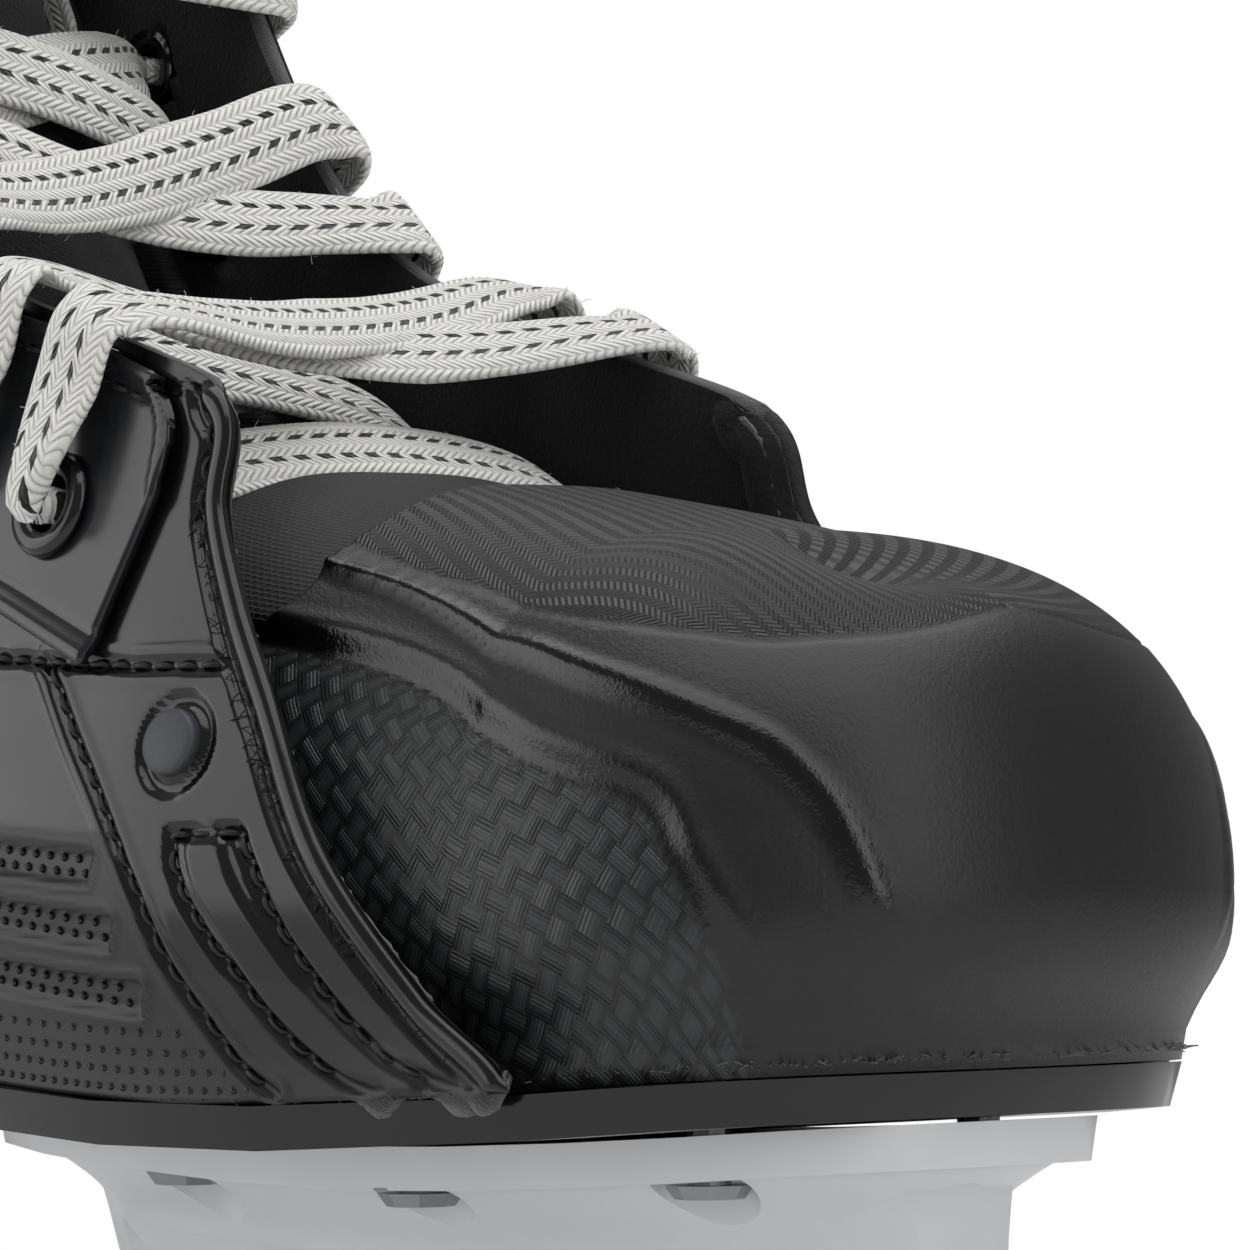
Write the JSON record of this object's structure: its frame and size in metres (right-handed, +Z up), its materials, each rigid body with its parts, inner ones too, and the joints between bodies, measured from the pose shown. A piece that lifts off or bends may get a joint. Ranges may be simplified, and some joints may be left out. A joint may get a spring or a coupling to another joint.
{
  "type": "ice hockey skate",
  "caption": "Ice hockey skate: laced boot with moulded toe cap and tendon guard on a riveted blade holder, with a steel runner that a sprung release lets tip out.",
  "frame": {"origin": "on the ice, at the middle of the skate's box in plan", "axes": "+X to the toe, +Y to the inner side of the foot, +Z up"},
  "size_m": [0.291, 0.105, 0.2895],
  "materials": {
    "quarter_shell": "satin coated composite with stitched overlays",
    "facing_panel": "glossy moulded",
    "disc": "pebbled",
    "eyelet": "black gloss enamel",
    "rivet": "bright",
    "toe_cap": "moulded, fine grain",
    "felt": "brushed felt",
    "mesh": "knitted",
    "lace": "flat cotton braid",
    "board": "pressed fibre",
    "outsole": "polished composite",
    "holder": "satin injection moulded",
    "steel": "ground and polished",
    "trigger": "moulded",
    "spring": "drawn wire"
  },
  "bodies": {
    "boot": {"boot_liner": "felt", "collar_pad": "felt", "eyelet_lateral_1": "eyelet", "eyelet_lateral_2": "eyelet", "eyelet_lateral_3": "eyelet", "eyelet_lateral_4": "eyelet", "eyelet_lateral_5": "eyelet", "eyelet_lateral_6": "eyelet", "eyelet_lateral_7": "eyelet", "eyelet_lateral_8": "eyelet", "eyelet_medial_1": "eyelet", "eyelet_medial_2": "eyelet", "eyelet_medial_3": "eyelet", "eyelet_medial_4": "eyelet", "eyelet_medial_5": "eyelet", "eyelet_medial_6": "eyelet", "eyelet_medial_7": "eyelet", "eyelet_medial_8": "eyelet", "facing_lateral": "facing_panel", "facing_medial": "facing_panel", "footbed": "felt", "heel_counter": "facing_panel", "holder": "holder", "insole_board": "board", "lace": "lace", "outsole": "outsole", "quarter_disc_lateral": "disc", "quarter_disc_medial": "disc", "quarter_lateral": "quarter_shell", "quarter_medial": "quarter_shell", "rivet_front_lateral_1": "rivet", "rivet_front_lateral_2": "rivet", "rivet_front_lateral_3": "rivet", "rivet_front_medial_1": "rivet", "rivet_front_medial_2": "rivet", "rivet_front_medial_3": "rivet", "rivet_rear_lateral_1": "rivet", "rivet_rear_lateral_2": "rivet", "rivet_rear_lateral_3": "rivet", "rivet_rear_medial_1": "rivet", "rivet_rear_medial_2": "rivet", "rivet_rear_medial_3": "rivet", "toe_box_liner": "felt", "toe_cap": "toe_cap", "tongue_body": "felt", "trigger_spring": "spring", "vamp_mesh": "mesh"},
    "steel": {"runner": "steel"},
    "trigger": {"release_trigger": "trigger"},
    "guard": {"tendon_guard": "toe_cap"},
    "flap": {"tongue_flap": "felt"}
  },
  "joints": [
    {"name": "steel_tip_out", "type": "hinge", "parent": "boot", "child": "steel", "pos_m": [0.11984, -0.00109, 0.026], "axis": [0, -1, 0], "range_deg": [0, 10]},
    {"name": "trigger_pull", "type": "slide", "parent": "boot", "child": "trigger", "axis": [1, 0, 0], "range_m": [0, 0.005], "stiffness_N_per_m": 400, "springref_m": -0.003, "deforming": ["trigger_spring"]},
    {"name": "guard_flex", "type": "hinge", "parent": "boot", "child": "guard", "pos_m": [-0.1295, -0.00109, 0.1967], "axis": [0, -1, 0], "range_deg": [0, 14], "stiffness_Nm_per_rad": 1.2},
    {"name": "flap_fold", "type": "hinge", "parent": "boot", "child": "flap", "pos_m": [-0.0474, -0.0016, 0.253], "axis": [0, 1, 0], "range_deg": [0, 50]}
  ]
}
